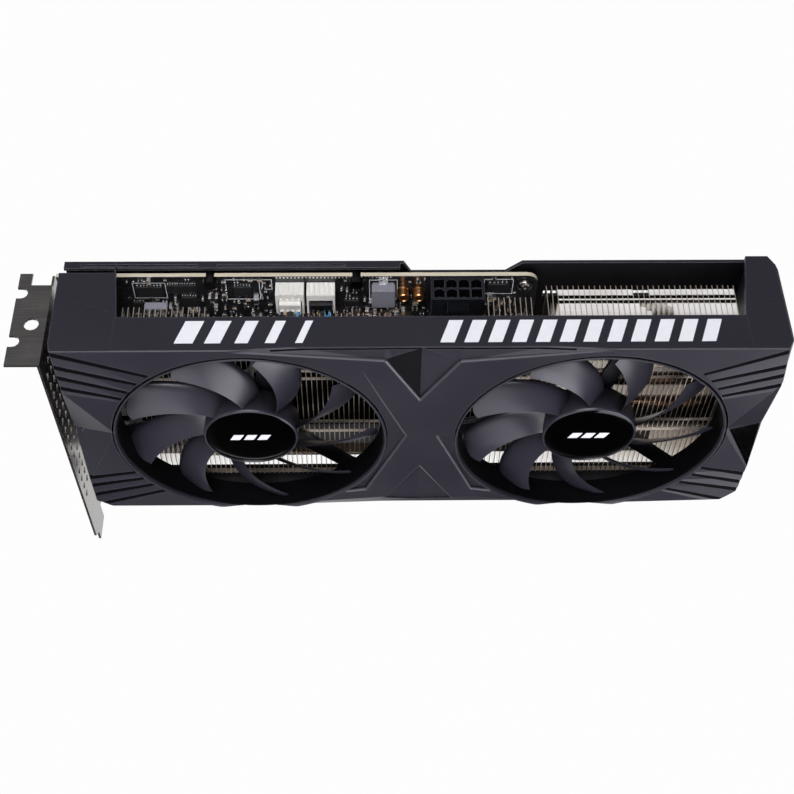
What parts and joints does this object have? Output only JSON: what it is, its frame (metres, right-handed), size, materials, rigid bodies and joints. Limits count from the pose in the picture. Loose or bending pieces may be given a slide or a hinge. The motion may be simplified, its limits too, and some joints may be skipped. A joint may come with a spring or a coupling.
{
  "type": "graphics card",
  "caption": "Two-slot expansion card with a slotted edge connector, a screw-down bracket, a finned cooler and two spinning fans in a faceted shroud.",
  "frame": {"origin": "middle of the long segment of the edge connector, on its lower face, in the board's middle plane", "axes": "+X from the bracket to the tail, -Y the fan side, +Z from the edge connector to the free edge"},
  "size_m": [0.2549, 0.0427, 0.1315],
  "materials": {
    "shroud_plastic": "satin moulded plastic with a fine grain",
    "backplate_paint": "black powder coat",
    "board_mask": "black solder mask over glass-fibre board",
    "contact_gold": "gold plated",
    "bright_steel": "plated sheet steel",
    "white_plastic": "moulded nylon",
    "black_plastic": "moulded nylon",
    "lead_sleeve": "braided sleeve over thin wires",
    "bearing_bronze": "sintered bronze",
    "pipe_copper": "bare copper",
    "fin_aluminium": "thin stamped fins",
    "chip_black": "moulded epoxy",
    "pad_grey": "soft thermal pad",
    "choke_grey": "pressed ferrite",
    "capacitor_orange": "moulded case",
    "dark_screw": "black zinc",
    "magnet_ferrite": "bonded ferrite ring",
    "gloss_disc": "high gloss black"
  },
  "bodies": {
    "root": {"shroud": "shroud_plastic", "backplate": "backplate_paint", "board": "board_mask", "contact_row_front": "contact_gold", "contact_row_back": "contact_gold", "key_contact_row_front": "contact_gold", "key_contact_row_back": "contact_gold", "io_bracket": "bright_steel", "video_port_1": "bright_steel", "video_port_2": "bright_steel", "video_port_3": "bright_steel", "video_port_4": "bright_steel", "power_connector": "black_plastic", "fan_header_left": "white_plastic", "fan_header_right": "white_plastic", "fan_plug_left": "black_plastic", "fan_plug_right": "black_plastic", "fan_lead_left": "lead_sleeve", "fan_lead_right": "lead_sleeve", "fan_frame_left": "black_plastic", "fan_frame_right": "black_plastic", "bearing_left": "bearing_bronze", "bearing_right": "bearing_bronze", "stator_left": "pipe_copper", "stator_right": "pipe_copper", "fin_stack_main": "fin_aluminium", "fin_stack_tail": "fin_aluminium", "heat_pipe_1": "pipe_copper", "heat_pipe_2": "pipe_copper", "heat_pipe_3": "pipe_copper", "cold_plate": "pipe_copper", "graphics_chip": "chip_black", "memory_chip_1": "chip_black", "memory_chip_2": "chip_black", "memory_chip_3": "chip_black", "memory_chip_4": "chip_black", "memory_pad_1": "pad_grey", "memory_pad_2": "pad_grey", "choke_1": "choke_grey", "choke_2": "choke_grey", "choke_3": "choke_grey", "choke_4": "choke_grey", "capacitor_1": "capacitor_orange", "capacitor_2": "capacitor_orange", "cooler_screw_1": "dark_screw", "cooler_screw_2": "dark_screw", "cooler_screw_3": "dark_screw", "cooler_screw_4": "dark_screw", "standoff_1": "dark_screw", "standoff_2": "dark_screw", "tail_screw": "bright_steel"},
    "fan_left": {"fan_rotor_left": "shroud_plastic", "hub_disc_left": "gloss_disc", "magnet_ring_left": "magnet_ferrite", "fan_shaft_left": "bright_steel"},
    "fan_right": {"fan_rotor_right": "shroud_plastic", "hub_disc_right": "gloss_disc", "magnet_ring_right": "magnet_ferrite", "fan_shaft_right": "bright_steel"}
  },
  "joints": [
    {"name": "fan_left_spin", "type": "hinge", "parent": "root", "child": "fan_left", "pos_m": [-0.03293, -0.03, 0.0675], "axis": [0, 1, 0], "continuous": true},
    {"name": "fan_right_spin", "type": "hinge", "parent": "root", "child": "fan_right", "pos_m": [0.08488, -0.03, 0.0675], "axis": [0, 1, 0], "continuous": true}
  ]
}
